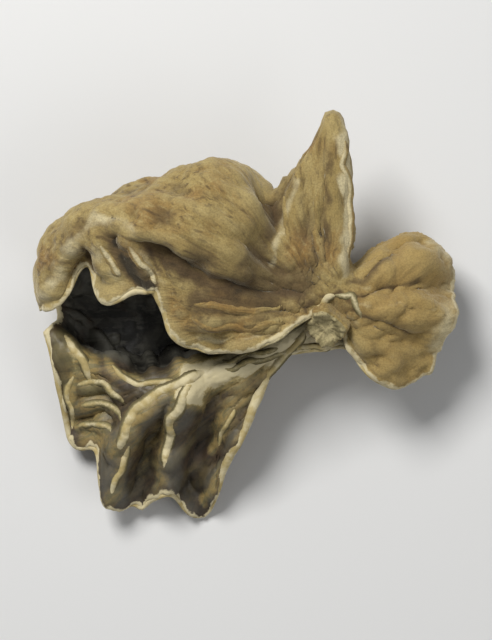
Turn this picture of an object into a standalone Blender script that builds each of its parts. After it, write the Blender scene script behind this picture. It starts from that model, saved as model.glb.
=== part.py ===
"""A dried wood ear: one thin sheet of flesh, folded along its back and gathered at its foot.

The sheet is lofted through eight lines that run along the ear, from its far end, through the
foot where it grew, to the small lobe beyond the foot. Creases, pleats and crumples follow, a
Solidify gives the sheet its wall, and the cut foot is joined on. The ear lies on its belly,
with its mouth towards -Y.
"""

import math

import bmesh
import bpy
from mathutils import Vector, noise

MM = 0.001

WALL = 1.3 * MM
MARGIN_WALL = 0.8 * MM
FOOT_WALL = 1.5 * MM
MARGIN_BAND = 3.5 * MM  # where the wall thins towards its margins
FOOT_BAND = 10 * MM  # where it thickens towards the foot

# Of the foot: from inside the gathered sheet to the flat face where it was cut off its log.
FOOT_ROOT = Vector((0.2, -1.8, 11.0)) * MM
FOOT_CUT = Vector((-1.5, -6.0, 17.0)) * MM
FOOT_ROOT_RADIUS = 3.3 * MM
FOOT_CUT_RADIUS = 3.1 * MM
FOOT_SIDES = 18

RESTS_AT = Vector((-23.0, -1.8, 0.0)) * MM  # the place under the belly that becomes the origin

PLEAT = 2.8 * MM
PLEATS_PER_LINE = 1.0  # round a section, from each of the eight lines to the next
CRUMPLE = 0.9 * MM
CRUMPLE_SIZE = 6 * MM
RUFFLE = 1.4 * MM
RUFFLE_SIZE = 4 * MM
TIGHT = 3.0 * MM  # from line to line, where the sheet is gathered too tight to crumple
FREE = 8.0 * MM  # from line to line, where it crumples to its full depth

# The eight lines in millimetres, each from the far end to the small lobe. The eleventh point of
# each is at the foot. Seen from above, they follow what shows: margins, fold and lip.
UPPER_MARGIN = (
    (-42.2, -3.2, 11.0), (-39.5, -2.0, 14.0), (-35.0, 3.8, 17.0), (-29.5, -1.5, 17.0),
    (-25.0, 0.8, 19.5), (-21.5, -7.2, 17.0), (-15.5, -8.8, 16.5), (-9.5, -7.8, 17.0),
    (-6.8, -6.2, 17.2), (-4.3, -4.5, 17.2), (-0.8, -3.0, 15.5), (3.0, -9.5, 13.0),
    (8.0, -13.8, 10.5), (13.5, -12.0, 9.0),
)
CREST = (
    (-42.8, -0.5, 12.5), (-40.5, 3.5, 17.0), (-36.0, 7.0, 21.5), (-30.5, 8.0, 24.0),
    (-25.0, 8.5, 25.5), (-19.0, 8.0, 25.5), (-13.5, 5.5, 23.0), (-9.0, 3.5, 18.8),
    (-6.0, 3.5, 18.4), (-3.0, 3.5, 19.2), (0.0, 0.0, 17.8), (6.0, -3.0, 17.0),
    (11.5, -3.0, 15.0), (17.0, -4.0, 11.0),
)
FOLD = (
    (-42.3, 2.5, 9.5), (-40.8, 7.3, 11.5), (-37.0, 10.3, 14.0), (-31.5, 12.8, 15.5),
    (-25.5, 15.2, 16.5), (-18.5, 17.8, 17.0), (-13.2, 16.5, 17.0), (-9.2, 13.2, 16.5),
    (-5.0, 17.2, 17.6), (0.2, 23.6, 19.5), (1.5, 3.6, 15.5), (6.5, 4.8, 13.5),
    (12.5, 7.0, 10.5), (17.6, 2.5, 8.0),
)
HEEL = (
    (-41.5, 2.0, 6.5), (-39.5, 5.0, 6.0), (-35.0, 6.5, 5.0), (-30.0, 7.5, 5.5),
    (-24.0, 9.5, 5.0), (-17.5, 10.5, 6.0), (-12.0, 9.5, 7.0), (-8.0, 8.5, 8.0),
    (-4.8, 9.5, 9.0), (-1.3, 9.5, 12.0), (1.2, 3.0, 12.2), (5.5, 3.6, 9.0),
    (11.5, 5.0, 5.0), (16.0, 2.0, 4.0),
)
BELLY = (
    (-40.5, -1.0, 5.0), (-38.5, -2.0, 2.0), (-34.5, -2.0, 0.0), (-29.5, -1.0, 0.0),
    (-24.0, 0.0, 0.0), (-18.0, 2.5, 0.0), (-12.5, 2.5, 0.6), (-8.3, 1.5, 3.4),
    (-5.4, 0.5, 5.6), (-2.8, 0.8, 7.6), (0.0, 1.0, 10.0), (4.5, 0.6, 6.0),
    (10.5, 2.0, 0.2), (15.0, -1.0, 1.8),
)
CHIN = (
    (-40.0, -4.0, 5.5), (-38.0, -7.0, 3.0), (-34.0, -9.5, 1.2), (-29.0, -10.5, 0.8),
    (-24.0, -10.0, 1.0), (-19.0, -9.0, 1.8), (-13.5, -7.5, 4.0), (-9.6, -5.5, 6.5),
    (-7.2, -4.6, 8.0), (-4.8, -3.5, 9.2), (-0.8, -1.3, 9.8), (3.5, -2.6, 5.4),
    (9.5, -3.5, 0.4), (14.0, -5.0, 1.8),
)
LIP = (
    (-40.8, -5.0, 8.0), (-38.8, -8.0, 9.0), (-35.0, -11.5, 9.5), (-30.0, -14.3, 10.0),
    (-25.0, -14.2, 11.0), (-20.0, -12.5, 12.0), (-14.5, -10.5, 12.5), (-10.2, -8.8, 12.6),
    (-8.0, -7.7, 12.4), (-5.6, -6.2, 11.9), (-1.6, -3.5, 10.8), (2.6, -5.8, 6.6),
    (8.5, -7.5, 2.0), (13.0, -8.0, 2.8),
)
LOWER_MARGIN = (
    (-41.8, -6.2, 9.5), (-40.3, -12.5, 7.5), (-37.5, -23.0, 1.6), (-32.2, -31.2, 2.2),
    (-26.7, -32.0, 1.6), (-18.8, -31.5, 0.8), (-14.0, -22.5, 7.0), (-10.9, -15.6, 10.3),
    (-9.3, -11.8, 11.7), (-7.2, -9.6, 12.2), (-2.2, -8.8, 11.2), (2.0, -8.4, 8.6),
    (7.5, -11.0, 5.5), (12.5, -10.5, 5.0),
)
LINES = (UPPER_MARGIN, CREST, FOLD, HEEL, BELLY, CHIN, LIP, LOWER_MARGIN)
COLUMNS = (4, 5, 6, 6, 6, 6, 5, 4, 4, 5, 5, 5, 4)  # of the mesh, from each point to the next
ROWS = (5, 5, 6, 6, 4, 4, 6)  # of the mesh, from each line to the next

# Creases seen from above: (height, half width, points), in millimetres. A hollow one is negative.
HOOD_CREASES = (
    (-1.5, 2.8, ((-4.0, 1.2), (-7.5, 2.5), (-9.5, 6.0), (-9.0, 14.0))),
    (-1.3, 1.9, ((-4.0, -1.5), (-13.0, -0.5), (-18.0, 0.5), (-24.0, 4.0))),
    (0.8, 2.0, ((-7.0, -4.0), (-14.0, -4.5), (-20.0, -4.0))),
    (1.0, 1.9, ((-41.0, 0.0), (-38.0, 6.0), (-33.0, 9.5), (-27.0, 11.0))),
    (-1.3, 2.0, ((-37.0, 4.5), (-31.0, 6.5), (-26.0, 5.0))),
    (1.1, 1.7, ((-33.0, 5.0), (-29.3, -1.0))),
    (1.0, 1.6, ((-29.0, 6.5), (-25.5, 0.5))),
    (1.0, 2.0, ((-7.0, 5.0), (-11.5, 9.5), (-15.0, 17.0))),
    (0.6, 1.6, ((1.0, 8.0), (0.8, 20.0))),
    (-0.8, 2.2, ((-3.0, 10.0), (-2.5, 18.0))),
    (0.8, 1.7, ((5.0, 1.5), (15.0, 5.0))),
    (0.8, 1.7, ((5.0, -3.0), (16.0, -4.0))),
    (0.8, 1.7, ((4.0, -7.0), (8.0, -13.0))),
    (-0.9, 1.8, ((5.0, -0.8), (17.0, 1.0))),
    (-0.9, 1.8, ((5.0, -5.0), (13.0, -9.0))),
)
APRON_CREASES = (
    (1.6, 1.8, ((-20.5, -14.0), (-26.0, -17.0), (-30.0, -20.5), (-32.0, -31.0))),
    (1.6, 1.7, ((-20.5, -14.5), (-22.5, -19.0), (-25.0, -30.0))),
    (0.8, 2.0, ((-12.5, -19.0), (-14.5, -23.0), (-19.0, -31.0))),
    (-1.3, 2.2, ((-24.5, -19.0), (-28.5, -30.0))),
    (-1.3, 2.4, ((-17.0, -16.0), (-20.5, -29.0))),
    (-1.1, 2.2, ((-33.0, -16.0), (-35.0, -24.0))),
)
# Where the lower margin is notched: (place along it, half width, depth), in steps of the lines.
NOTCHES = ((2.5, 0.32, 0.3), (4.2, 0.26, 0.22), (5.0, 0.3, -0.08))


def catmull_rom(points, t):
    """The point at t, from 0 to the last point's number, on a smooth curve through them."""
    last = len(points) - 1
    i = min(int(t), last - 1)
    f = t - i
    a, b = points[i], points[i + 1]
    before = points[i - 1] if i > 0 else 2 * a - b
    after = points[i + 2] if i + 2 <= last else 2 * b - a
    square = 2 * before - 5 * a + 4 * b - after
    cube = 3 * a - 3 * b + after - before
    return 0.5 * (2 * a + (b - before) * f + square * f**2 + cube * f**3)


def steps(counts):
    """Where the mesh's lines run: each whole number is one of the drawn points or lines."""
    found = [i + k / count for i, count in enumerate(counts) for k in range(count)]
    return found + [len(counts)]


def smoothstep(start, end, x):
    f = min(max((x - start) / (end - start), 0.0), 1.0)
    return f * f * (3 - 2 * f)


def distance(x, y, points):
    """From (x, y) to a line through the points, in their unit."""
    best = math.inf
    for (ax, ay), (bx, by) in zip(points, points[1:]):
        dx, dy = bx - ax, by - ay
        f = ((x - ax) * dx + (y - ay) * dy) / (dx * dx + dy * dy)
        f = min(max(f, 0.0), 1.0)
        best = min(best, math.hypot(x - ax - f * dx, y - ay - f * dy))
    return best


def creased(point, creases):
    x, y = point.x / MM, point.y / MM
    total = 0.0
    for height, width, points in creases:
        total += height * math.exp(-((distance(x, y, points) / width) ** 2))
    return total * MM


def slopes(grid):
    """The sheet's normal, towards its outer felted face, and its run from line to line."""
    found = []
    places = steps(ROWS)
    for i, column in enumerate(grid):
        left, right = grid[max(i - 1, 0)], grid[min(i + 1, len(grid) - 1)]
        row = []
        for j in range(len(column)):
            low, high = max(j - 1, 0), min(j + 1, len(column) - 1)
            across = (column[high] - column[low]) / (places[high] - places[low])
            row.append(((right[j] - left[j]).cross(across).normalized(), across.length))
        found.append(row)
    return found


def loft():
    lines = [[Vector(point) * MM for point in line] for line in LINES]
    apron = len(LINES) - 2
    grid = []
    for s in steps(COLUMNS):
        section = [catmull_rom(line, s) for line in lines]
        notch = sum(depth * math.exp(-(((s - at) / width) ** 2)) for at, width, depth in NOTCHES)
        rows = [t - notch * max(t - apron, 0) for t in steps(ROWS)]
        grid.append([catmull_rom(section, t) for t in rows])
    return grid


def crumple(grid):
    """The sheet with its creases, the pleats that run out from the foot, and its crumples."""
    crumpled = []
    for s, column, row in zip(steps(COLUMNS), grid, slopes(grid)):
        moved = []
        for t, point, (normal, run) in zip(steps(ROWS), column, row):
            hood = 1 - smoothstep(1.5, 2.5, t)
            apron = smoothstep(5.4, 6.5, t)
            hidden = smoothstep(1.8, 3.0, t) - smoothstep(4.4, 5.8, t)
            shift = hood * creased(point, HOOD_CREASES) - apron * creased(point, APRON_CREASES)
            sway = 0.9 * noise.noise(Vector((0.4 * t, 0.4 * s, 2.0)))
            pleat = abs(math.sin(math.pi * (PLEATS_PER_LINE * t + sway))) - 0.6
            depth = 0.7 + 0.9 * noise.noise(Vector((0.9 * t, 0.5 * s, 8.0)))
            shift += PLEAT * pleat * depth * (0.15 + 0.85 * hidden)
            shift += CRUMPLE * noise.noise(point / CRUMPLE_SIZE)
            edge = smoothstep(6.3, 7.0, t) + 1 - smoothstep(0, 0.6, t)
            shift += RUFFLE * edge * noise.noise(point / RUFFLE_SIZE)
            moved.append(point + shift * smoothstep(TIGHT, FREE, run) * normal)
        crumpled.append(moved)
    return crumpled


def wall_at(grid, i, j):
    """How thick the sheet is at a point of the grid."""
    column = grid[i]
    point = column[j]
    margins = (column[0], column[-1], grid[0][j], grid[-1][j])
    edge = min((point - margin).length for margin in margins)
    wall = MARGIN_WALL + (WALL - MARGIN_WALL) * smoothstep(0, MARGIN_BAND, edge)
    reach = (point - FOOT_ROOT).length
    return wall + (FOOT_WALL - WALL) * (1 - smoothstep(0, FOOT_BAND, reach))


def add_sheet():
    grid = crumple(loft())
    rows = len(grid[0])
    vertices = []
    walls = []
    for i, column in enumerate(grid):
        for j, point in enumerate(column):
            wall = wall_at(grid, i, j)
            point.z = max(point.z, wall / 2)
            vertices.append(point)
            walls.append(wall)
    faces = []
    for i in range(len(grid) - 1):
        for j in range(rows - 1):
            a = i * rows + j
            faces.append((a, a + rows, a + rows + 1, a + 1))
    mesh = bpy.data.meshes.new("wood_ear")
    mesh.from_pydata(vertices, [], faces)
    sheet = bpy.data.objects.new("wood_ear", mesh)
    thickness = sheet.vertex_groups.new(name="thickness")
    for index, wall in enumerate(walls):
        thickness.add([index], wall / FOOT_WALL, "REPLACE")
    solid = sheet.modifiers.new("wall", "SOLIDIFY")
    solid.thickness = FOOT_WALL
    solid.offset = 0
    solid.vertex_group = thickness.name
    solid.material_offset = 1
    return sheet


def add_foot():
    """The short solid foot, tapered to the flat face where it was cut."""
    axis = FOOT_CUT - FOOT_ROOT
    turn = axis.to_track_quat("Z", "Y").to_matrix().to_4x4()
    turn.translation = (FOOT_ROOT + FOOT_CUT) / 2
    shape = bmesh.new()
    bmesh.ops.create_cone(
        shape,
        cap_ends=True,
        segments=FOOT_SIDES,
        radius1=FOOT_ROOT_RADIUS,
        radius2=FOOT_CUT_RADIUS,
        depth=axis.length,
        matrix=turn,
    )
    mesh = bpy.data.meshes.new("foot")
    shape.to_mesh(mesh)
    shape.free()
    foot = bpy.data.objects.new("foot", mesh)
    foot.hide_render = True
    return foot


def add_material(name, color, roughness):
    material = bpy.data.materials.new(name)
    material.use_nodes = True
    shader = material.node_tree.nodes["Principled BSDF"]
    shader.inputs["Base Color"].default_value = (*color, 1)
    shader.inputs["Roughness"].default_value = roughness
    shader.inputs["Metallic"].default_value = 0
    return material


def main():
    for thing in list(bpy.data.objects):
        bpy.data.objects.remove(thing, do_unlink=True)
    collection = bpy.data.collections.new("wood ear mushroom")
    bpy.context.scene.collection.children.link(collection)
    ear = add_sheet()
    foot = add_foot()
    felt = add_material("felted back", (0.27, 0.2, 0.085), 0.9)
    for thing in (ear, foot):
        thing.location = -RESTS_AT
        collection.objects.link(thing)
        thing.data.shade_smooth()
        thing.data.materials.append(felt)
    ear.data.materials.append(add_material("dark inner face", (0.03, 0.028, 0.022), 0.5))
    joined = ear.modifiers.new("foot", "BOOLEAN")
    joined.operation = "UNION"
    joined.solver = "EXACT"
    joined.object = foot


main()
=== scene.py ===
"""The looks of the dried wood ear: its sheet with every wrinkle, its two faces and its cut foot.

The sheet repeats the lines and creases that its solid is lofted from, on a much finer mesh,
and carries on from there with the small folds, veins and felt that the solid leaves out.
"""

import math

import bmesh
import bpy
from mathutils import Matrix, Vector, noise
from mathutils.bvhtree import BVHTree


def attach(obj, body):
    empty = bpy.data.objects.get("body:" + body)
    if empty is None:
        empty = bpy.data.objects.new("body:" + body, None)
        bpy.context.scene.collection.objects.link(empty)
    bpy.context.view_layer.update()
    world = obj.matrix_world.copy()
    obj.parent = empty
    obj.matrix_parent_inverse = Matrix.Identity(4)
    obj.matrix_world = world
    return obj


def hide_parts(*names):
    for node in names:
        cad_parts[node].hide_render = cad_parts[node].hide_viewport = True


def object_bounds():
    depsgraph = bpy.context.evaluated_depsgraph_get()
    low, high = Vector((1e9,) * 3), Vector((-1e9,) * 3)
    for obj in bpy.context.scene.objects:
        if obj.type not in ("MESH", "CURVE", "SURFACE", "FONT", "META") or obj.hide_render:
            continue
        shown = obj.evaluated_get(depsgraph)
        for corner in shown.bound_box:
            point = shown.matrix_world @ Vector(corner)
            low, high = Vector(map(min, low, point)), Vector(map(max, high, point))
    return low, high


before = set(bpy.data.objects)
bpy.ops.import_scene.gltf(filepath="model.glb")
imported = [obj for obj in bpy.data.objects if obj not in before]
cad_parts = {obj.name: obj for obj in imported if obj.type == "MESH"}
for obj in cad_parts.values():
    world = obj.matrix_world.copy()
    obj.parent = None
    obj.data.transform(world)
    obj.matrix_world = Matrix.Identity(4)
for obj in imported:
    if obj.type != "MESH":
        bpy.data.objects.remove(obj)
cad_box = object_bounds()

MM = 0.001

WALL = 1.3 * MM
MARGIN_WALL = 0.8 * MM
FOOT_WALL = 1.5 * MM
MARGIN_BAND = 3.5 * MM  # where the wall thins towards its margins
FOOT_BAND = 10 * MM  # where it thickens towards the foot
EDGE_ROUND = 0.35 * MM
EDGE_SHARE = 0.4  # of the wall, at the very edge

FOOT_ROOT = Vector((0.2, -1.8, 11.0)) * MM
FOOT_CUT = Vector((-1.5, -6.0, 17.0)) * MM
FOOT_ROOT_RADIUS = 3.3 * MM
FOOT_CUT_RADIUS = 3.1 * MM
FOOT_MIDDLE = (FOOT_ROOT + FOOT_CUT) / 2

RESTS_AT = Vector((-23.0, -1.8, 0.0)) * MM  # the place under the belly that is the origin

# The solid's own pleats, crumples and ruffles.
PLEAT = 2.8 * MM
PLEATS_PER_LINE = 1.0
PLEATS_SHOWN = 0.15  # of their height, where they aren't hidden
PLEAT_VALLEY = 0.6  # of their height, how far they go down
CRUMPLE = 0.9 * MM
CRUMPLE_SIZE = 6 * MM
RUFFLE = 1.4 * MM
RUFFLE_SIZE = 4 * MM
TIGHT = 3.0 * MM  # from line to line, where the sheet is gathered too tight to crumple
FREE = 8.0 * MM  # from line to line, where it crumples to its full depth

# What the solid leaves out.
FLARE = 1.2 * MM  # of the upper margin, outwards
LOWER_FLARE = 0.6  # of the upper margin's, towards the dark face
UPPER_JAG = 0.055  # of the way to the next line, how ragged the margins are
LOWER_JAG = 0.09
JAG_SIZE = 3.4 * MM
SMALL_PLEAT = 1.25 * MM
SMALL_PLEATS_PER_LINE = 3.2
SMALL_PLEATS_SHOWN = 0.1  # of their height, away from the back
PLEAT_RIBS = 0.6  # how far small pleats count as ribs in the felt's colour
PUCKER = 0.2 * MM
EDGE_PUCKERS = 0.6  # how much higher they are along the margins
PUCKER_SIZE = 2.6 * MM
RADIAL_FOLDS = ((5.0, 0.7 * MM), (12.0, 0.36 * MM), (26.0, 0.17 * MM))  # how many, how deep
RADIAL_GROWTH = (0.12 * MM, 0.9 * MM)  # from the foot for each fold, till they are full depth
RADIAL_LENGTH = 26 * MM
BACK_RIBS = 1.5  # how much deeper the radial folds are on the back
WANDER = 0.8  # of the drawn creases and marks, in millimetres
WANDER_SIZE = 2.7
PATCHY = 0.35
PATCH_SIZE = 3.1  # in millimetres
FELT_WRINKLE = 0.07 * MM
FELT_WRINKLE_SIZE = 1.3 * MM
VEIN = 0.16 * MM
VEIN_SIZE = 1.9 * MM
CALM = (2, 9)  # from the foot in millimetres, where wrinkles and veins begin

# How pleats sway and change in depth over the sheet: (mean, spread, change from line to line,
# change along the lines, seed).
PLEAT_SWAY = (0.0, 0.9, 0.4, 0.4, 2.0)
PLEAT_DEPTH = (0.7, 0.9, 0.9, 0.5, 8.0)
SMALL_PLEAT_SWAY = (0.0, 1.3, 0.6, 0.7, 5.0)
SMALL_PLEAT_DEPTH = (0.6, 1.1, 1.3, 0.8, 11.0)

# Where parts of the sheet start and end from one margin to the other, as numbers in LINES.
UPPER_EDGE_ENDS = (0, 0.6)
UPPER_FLARE_ENDS = (0, 0.22)
HOOD_ENDS = (1.5, 2.5)
BACK_STARTS = (1.7, 2.7)
FELT_MARKS_END = (1.8, 2.6)
HIDDEN_STARTS = (1.8, 3.0)
FLOOR_STARTS = (3.4, 4.0)
HIDDEN_ENDS = (4.4, 5.8)
INNER_MARKS_START = (5.3, 5.9)
APRON_STARTS = (5.4, 6.5)
LOWER_EDGE_STARTS = (6.3, 7.0)
LOWER_FLARE_STARTS = (6.8, 7.0)

UPPER_MARGIN = (
    (-42.2, -3.2, 11.0), (-39.5, -2.0, 14.0), (-35.0, 3.8, 17.0), (-29.5, -1.5, 17.0),
    (-25.0, 0.8, 19.5), (-21.5, -7.2, 17.0), (-15.5, -8.8, 16.5), (-9.5, -7.8, 17.0),
    (-6.8, -6.2, 17.2), (-4.3, -4.5, 17.2), (-0.8, -3.0, 15.5), (3.0, -9.5, 13.0),
    (8.0, -13.8, 10.5), (13.5, -12.0, 9.0),
)
CREST = (
    (-42.8, -0.5, 12.5), (-40.5, 3.5, 17.0), (-36.0, 7.0, 21.5), (-30.5, 8.0, 24.0),
    (-25.0, 8.5, 25.5), (-19.0, 8.0, 25.5), (-13.5, 5.5, 23.0), (-9.0, 3.5, 18.8),
    (-6.0, 3.5, 18.4), (-3.0, 3.5, 19.2), (0.0, 0.0, 17.8), (6.0, -3.0, 17.0),
    (11.5, -3.0, 15.0), (17.0, -4.0, 11.0),
)
FOLD = (
    (-42.3, 2.5, 9.5), (-40.8, 7.3, 11.5), (-37.0, 10.3, 14.0), (-31.5, 12.8, 15.5),
    (-25.5, 15.2, 16.5), (-18.5, 17.8, 17.0), (-13.2, 16.5, 17.0), (-9.2, 13.2, 16.5),
    (-5.0, 17.2, 17.6), (0.2, 23.6, 19.5), (1.5, 3.6, 15.5), (6.5, 4.8, 13.5),
    (12.5, 7.0, 10.5), (17.6, 2.5, 8.0),
)
HEEL = (
    (-41.5, 2.0, 6.5), (-39.5, 5.0, 6.0), (-35.0, 6.5, 5.0), (-30.0, 7.5, 5.5),
    (-24.0, 9.5, 5.0), (-17.5, 10.5, 6.0), (-12.0, 9.5, 7.0), (-8.0, 8.5, 8.0),
    (-4.8, 9.5, 9.0), (-1.3, 9.5, 12.0), (1.2, 3.0, 12.2), (5.5, 3.6, 9.0),
    (11.5, 5.0, 5.0), (16.0, 2.0, 4.0),
)
BELLY = (
    (-40.5, -1.0, 5.0), (-38.5, -2.0, 2.0), (-34.5, -2.0, 0.0), (-29.5, -1.0, 0.0),
    (-24.0, 0.0, 0.0), (-18.0, 2.5, 0.0), (-12.5, 2.5, 0.6), (-8.3, 1.5, 3.4),
    (-5.4, 0.5, 5.6), (-2.8, 0.8, 7.6), (0.0, 1.0, 10.0), (4.5, 0.6, 6.0),
    (10.5, 2.0, 0.2), (15.0, -1.0, 1.8),
)
CHIN = (
    (-40.0, -4.0, 5.5), (-38.0, -7.0, 3.0), (-34.0, -9.5, 1.2), (-29.0, -10.5, 0.8),
    (-24.0, -10.0, 1.0), (-19.0, -9.0, 1.8), (-13.5, -7.5, 4.0), (-9.6, -5.5, 6.5),
    (-7.2, -4.6, 8.0), (-4.8, -3.5, 9.2), (-0.8, -1.3, 9.8), (3.5, -2.6, 5.4),
    (9.5, -3.5, 0.4), (14.0, -5.0, 1.8),
)
LIP = (
    (-40.8, -5.0, 8.0), (-38.8, -8.0, 9.0), (-35.0, -11.5, 9.5), (-30.0, -14.3, 10.0),
    (-25.0, -14.2, 11.0), (-20.0, -12.5, 12.0), (-14.5, -10.5, 12.5), (-10.2, -8.8, 12.6),
    (-8.0, -7.7, 12.4), (-5.6, -6.2, 11.9), (-1.6, -3.5, 10.8), (2.6, -5.8, 6.6),
    (8.5, -7.5, 2.0), (13.0, -8.0, 2.8),
)
LOWER_MARGIN = (
    (-41.8, -6.2, 9.5), (-40.3, -12.5, 7.5), (-37.5, -23.0, 1.6), (-32.2, -31.2, 2.2),
    (-26.7, -32.0, 1.6), (-18.8, -31.5, 0.8), (-14.0, -22.5, 7.0), (-10.9, -15.6, 10.3),
    (-9.3, -11.8, 11.7), (-7.2, -9.6, 12.2), (-2.2, -8.8, 11.2), (2.0, -8.4, 8.6),
    (7.5, -11.0, 5.5), (12.5, -10.5, 5.0),
)
LINES = (UPPER_MARGIN, CREST, FOLD, HEEL, BELLY, CHIN, LIP, LOWER_MARGIN)
COLUMNS = (12, 16, 22, 25, 25, 21, 15, 12, 12, 15, 14, 14, 12)  # from point to point
ROWS = (32, 33, 30, 20, 18, 22, 68)  # from line to line

# The solid's creases: (height, half width, points), in millimetres.
HOOD_CREASES = (
    (-1.5, 2.8, ((-4.0, 1.2), (-7.5, 2.5), (-9.5, 6.0), (-9.0, 14.0))),
    (-1.3, 1.9, ((-4.0, -1.5), (-13.0, -0.5), (-18.0, 0.5), (-24.0, 4.0))),
    (0.8, 2.0, ((-7.0, -4.0), (-14.0, -4.5), (-20.0, -4.0))),
    (1.0, 1.9, ((-41.0, 0.0), (-38.0, 6.0), (-33.0, 9.5), (-27.0, 11.0))),
    (-1.3, 2.0, ((-37.0, 4.5), (-31.0, 6.5), (-26.0, 5.0))),
    (1.1, 1.7, ((-33.0, 5.0), (-29.3, -1.0))),
    (1.0, 1.6, ((-29.0, 6.5), (-25.5, 0.5))),
    (1.0, 2.0, ((-7.0, 5.0), (-11.5, 9.5), (-15.0, 17.0))),
    (0.6, 1.6, ((1.0, 8.0), (0.8, 20.0))),
    (-0.8, 2.2, ((-3.0, 10.0), (-2.5, 18.0))),
    (0.8, 1.7, ((5.0, 1.5), (15.0, 5.0))),
    (0.8, 1.7, ((5.0, -3.0), (16.0, -4.0))),
    (0.8, 1.7, ((4.0, -7.0), (8.0, -13.0))),
    (-0.9, 1.8, ((5.0, -0.8), (17.0, 1.0))),
    (-0.9, 1.8, ((5.0, -5.0), (13.0, -9.0))),
)
APRON_CREASES = (
    (1.6, 1.8, ((-20.5, -14.0), (-26.0, -17.0), (-30.0, -20.5), (-32.0, -31.0))),
    (1.6, 1.7, ((-20.5, -14.5), (-22.5, -19.0), (-25.0, -30.0))),
    (0.8, 2.0, ((-12.5, -19.0), (-14.5, -23.0), (-19.0, -31.0))),
    (-1.3, 2.2, ((-24.5, -19.0), (-28.5, -30.0))),
    (-1.3, 2.4, ((-17.0, -16.0), (-20.5, -29.0))),
    (-1.1, 2.2, ((-33.0, -16.0), (-35.0, -24.0))),
)
# Notches in the margins: (at which point, half width, depth). Width and depth are shares of the
# way to the next point and the next line.
LOWER_NOTCHES = ((2.5, 0.32, 0.3), (4.2, 0.26, 0.22), (5.0, 0.3, -0.08))
UPPER_NOTCHES = ((3.15, 0.42, 0.22),)
# Sharper creases than the solid has, also as (height, half width, points).
HOOD_LINES = (
    (-0.6, 0.8, ((-5.0, -1.2), (-13.0, -0.2), (-18.0, 1.2), (-24.0, 4.6), (-27.0, 6.0))),
    (0.35, 0.8, ((-13.0, 2.0), (-20.0, 4.6), (-27.5, 8.0))),
    (-0.4, 0.7, ((-6.0, -3.4), (-13.0, -3.6), (-20.0, -3.0))),
    (0.3, 0.6, ((-6.0, -2.3), (-14.0, -2.4), (-19.0, -1.4))),
    (-0.3, 0.6, ((-6.0, -5.6), (-13.0, -6.6), (-20.0, -5.6))),
    (0.55, 0.6, ((-33.5, 7.0), (-31.8, 3.6), (-29.8, 0.0))),
    (0.55, 0.6, ((-29.8, 7.2), (-27.6, 3.6), (-25.6, 0.8))),
    (-0.5, 0.6, ((-31.6, 7.5), (-29.6, 3.4), (-28.6, 1.0))),
    (-0.45, 0.7, ((-36.0, 6.5), (-34.0, 4.5), (-33.0, 2.5))),
    (-0.4, 0.7, ((-40.5, 1.5), (-37.0, 6.8), (-32.5, 9.0), (-27.5, 9.8))),
    (0.4, 0.7, ((-39.5, 0.2), (-36.0, 5.6), (-31.5, 8.0))),
    (-0.5, 0.7, ((-5.5, 4.5), (-8.0, 8.0), (-9.0, 15.0))),
    (0.45, 0.6, ((-4.0, 4.5), (-6.2, 8.5), (-6.4, 14.0))),
    (-0.45, 0.6, ((-2.5, 4.0), (-4.4, 9.0), (-4.2, 16.0))),
    (-0.35, 0.6, ((-1.2, 4.0), (-1.6, 11.0), (-1.2, 20.0))),
    (0.5, 0.7, ((0.8, 2.0), (0.9, 12.0), (0.6, 22.0))),
    (-0.5, 0.6, ((2.6, 0.6), (5.0, 2.0), (9.0, 4.4))),
    (-0.45, 0.6, ((2.6, -1.2), (6.0, -0.4), (13.0, 1.8))),
    (-0.45, 0.6, ((2.6, -2.8), (6.0, -4.2), (12.0, -6.8))),
    (0.35, 0.7, ((3.0, -2.0), (8.0, -2.2), (15.0, -2.0))),
)
APRON_LINES = (
    (0.9, 0.9, ((-20.5, -13.0), (-25.2, -15.4), (-28.6, -18.0), (-30.2, -21.0),
                (-31.6, -23.4))),
    (0.7, 0.8, ((-28.8, -20.2), (-30.4, -24.6), (-32.4, -31.2))),
    (0.85, 0.8, ((-20.2, -12.0), (-21.4, -15.2), (-23.2, -18.4), (-24.0, -22.4),
                 (-25.4, -30.6))),
    (-0.5, 0.8, ((-27.0, -20.0), (-29.3, -29.0))),
    (0.45, 0.7, ((-14.6, -16.6), (-15.8, -20.0), (-17.6, -24.4))),
    (-0.4, 0.7, ((-19.0, -16.5), (-21.5, -28.0))),
    (0.5, 0.7, ((-37.4, -14.6), (-33.6, -14.2), (-31.2, -15.6))),
    (0.5, 0.7, ((-37.4, -17.4), (-33.4, -17.0), (-31.4, -18.0))),
    (0.5, 0.7, ((-37.0, -20.0), (-33.4, -19.8), (-31.6, -20.8))),
    (-0.5, 0.6, ((-36.8, -15.9), (-33.6, -15.6), (-31.6, -16.9))),
    (-0.5, 0.6, ((-36.8, -18.7), (-33.4, -18.4), (-31.6, -19.4))),
)
# Low ridges on the floor of the hollow, as above.
HOLLOW_LINES = (
    (0.9, 0.9, ((-35.0, -1.0), (-33.4, -5.0), (-31.4, -8.4), (-30.4, -12.0))),
    (1.0, 1.0, ((-30.8, 1.6), (-29.6, -3.0), (-28.2, -7.6), (-26.0, -12.0))),
    (0.9, 0.9, ((-27.0, 1.0), (-26.0, -4.6), (-24.6, -8.4), (-22.6, -11.6))),
    (0.8, 0.8, ((-39.0, -3.0), (-36.2, -5.4), (-33.6, -8.8), (-31.6, -12.4))),
    (0.8, 0.9, ((-23.6, -1.0), (-22.4, -6.0), (-19.4, -9.8))),
    (-0.7, 0.8, ((-33.0, -0.4), (-31.6, -4.4), (-29.6, -9.0))),
    (-0.7, 0.8, ((-28.6, 0.0), (-27.6, -5.4), (-25.0, -10.4))),
)
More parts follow.
